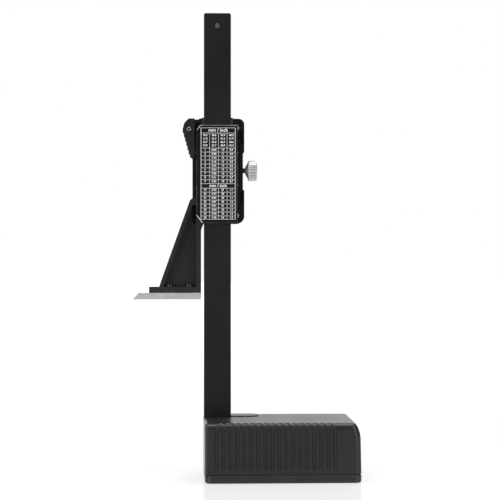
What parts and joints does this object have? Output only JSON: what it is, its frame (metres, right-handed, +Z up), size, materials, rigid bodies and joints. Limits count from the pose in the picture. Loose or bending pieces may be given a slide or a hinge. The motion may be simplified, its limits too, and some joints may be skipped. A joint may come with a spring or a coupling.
{
  "type": "height gauge",
  "caption": "Digital height gauge: weighted fluted base, flat upright column, sliding display head with bevelled scriber, lock screw and brake lever.",
  "frame": {"origin": "centre of the sole's underside, on the surface plate", "axes": "+Z up along the column, +X from the column towards the base's free end, +Y towards the display side; the scriber points to -X"},
  "size_m": [0.1325, 0.06, 0.274],
  "materials": {
    "cover_black": "moulded, fine satin grain",
    "sole_steel": "ground underside, black painted edge",
    "ballast_iron": "rough",
    "screw_steel": "plain",
    "column_black": "matte black coat",
    "scale_board": "laminate",
    "scale_print": "printed film",
    "stop_steel": "polished",
    "carriage_black": "satin black coat",
    "strip_black": "acetal, satin",
    "gib_brass": "dull",
    "plate_black": "satin black coat with bright bevels",
    "label_print": "printed black and white",
    "bush_brass": "turned",
    "knob_steel": "satin, knurled",
    "lever_black": "satin black",
    "pin_steel": "turned",
    "spring_steel": "blued",
    "bracket_black": "satin black coat over a casting",
    "scriber_steel": "ground, hardened",
    "housing_black": "moulded, fine grain",
    "window_clear": "clear",
    "lcd_grey": "segment display",
    "elastomer": "plain",
    "board_green": "laminate",
    "dome_steel": "plain",
    "button_red": "moulded",
    "button_grey": "moulded",
    "cell_steel": "plated",
    "contact_brass": "plated",
    "door_black": "moulded, fine grain"
  },
  "bodies": {
    "base": {"base_cover": "cover_black", "sole_plate": "sole_steel", "sole_screws": "screw_steel", "ballast_block": "ballast_iron", "column": "column_black", "column_screws": "screw_steel", "scale_strip": "scale_board", "scale_film": "scale_print", "end_stop_screw": "stop_steel"},
    "slider": {"carriage": "carriage_black", "guide_strip": "strip_black", "gib_strip": "gib_brass", "gib_screws": "screw_steel", "back_cover": "plate_black", "back_cover_screws": "screw_steel", "thread_table_label": "label_print", "lock_bush": "bush_brass", "lever_pin": "pin_steel", "lever_spring": "spring_steel", "scriber_bracket": "bracket_black", "bracket_screws": "screw_steel", "scriber": "scriber_steel", "scriber_screws": "screw_steel", "display_housing": "housing_black", "housing_screws": "screw_steel", "display_window": "window_clear", "lcd_glass": "lcd_grey", "elastomer_strip": "elastomer", "circuit_board": "board_green", "button_domes": "dome_steel", "battery_cell": "cell_steel", "battery_contacts": "contact_brass"},
    "lock_plug": {"lock_plug": "bush_brass"},
    "lock_screw": {"lock_screw": "knob_steel"},
    "lever": {"brake_lever": "lever_black"},
    "zero_button": {"zero_button": "button_red"},
    "power_button": {"power_button": "button_grey"},
    "unit_button": {"unit_button": "button_grey"},
    "battery_door": {"battery_door": "door_black"}
  },
  "joints": [
    {"name": "slider_travel", "type": "slide", "parent": "base", "child": "slider", "axis": [0, 0, 1], "range_m": [-0.1042, 0.053]},
    {"name": "lock_plug_slide", "type": "slide", "parent": "slider", "child": "lock_plug", "axis": [-1, 0, 0], "range_m": [-0.0005, 0.00025]},
    {"name": "lock_screw_turn", "type": "hinge", "parent": "lock_plug", "child": "lock_screw", "pos_m": [-0.0219, 0.0093, 0.1807], "axis": [-1, 0, 0], "range_deg": [-361, 181]},
    {"name": "lever_swing", "type": "hinge", "parent": "slider", "child": "lever", "pos_m": [-0.0539, 0.00905, 0.2053], "axis": [0, -1, 0], "range_deg": [0, 3], "stiffness_Nm_per_rad": 0.02, "springref_deg": -8.59},
    {"name": "zero_button_press", "type": "slide", "parent": "slider", "child": "zero_button", "axis": [0, -1, 0], "range_m": [0, 0.0006], "stiffness_N_per_m": 300, "springref_m": -0.001},
    {"name": "power_button_press", "type": "slide", "parent": "slider", "child": "power_button", "axis": [0, -1, 0], "range_m": [0, 0.0006], "stiffness_N_per_m": 300, "springref_m": -0.001},
    {"name": "unit_button_press", "type": "slide", "parent": "slider", "child": "unit_button", "axis": [0, -1, 0], "range_m": [0, 0.0006], "stiffness_N_per_m": 300, "springref_m": -0.001},
    {"name": "battery_door_slide", "type": "slide", "parent": "slider", "child": "battery_door", "axis": [0, 0, -1], "range_m": [0, 0.014]}
  ],
  "couplings": [
    {"joint": "lock_screw_turn", "follows": "lock_plug_slide", "rad_per_m": 12566}
  ]
}
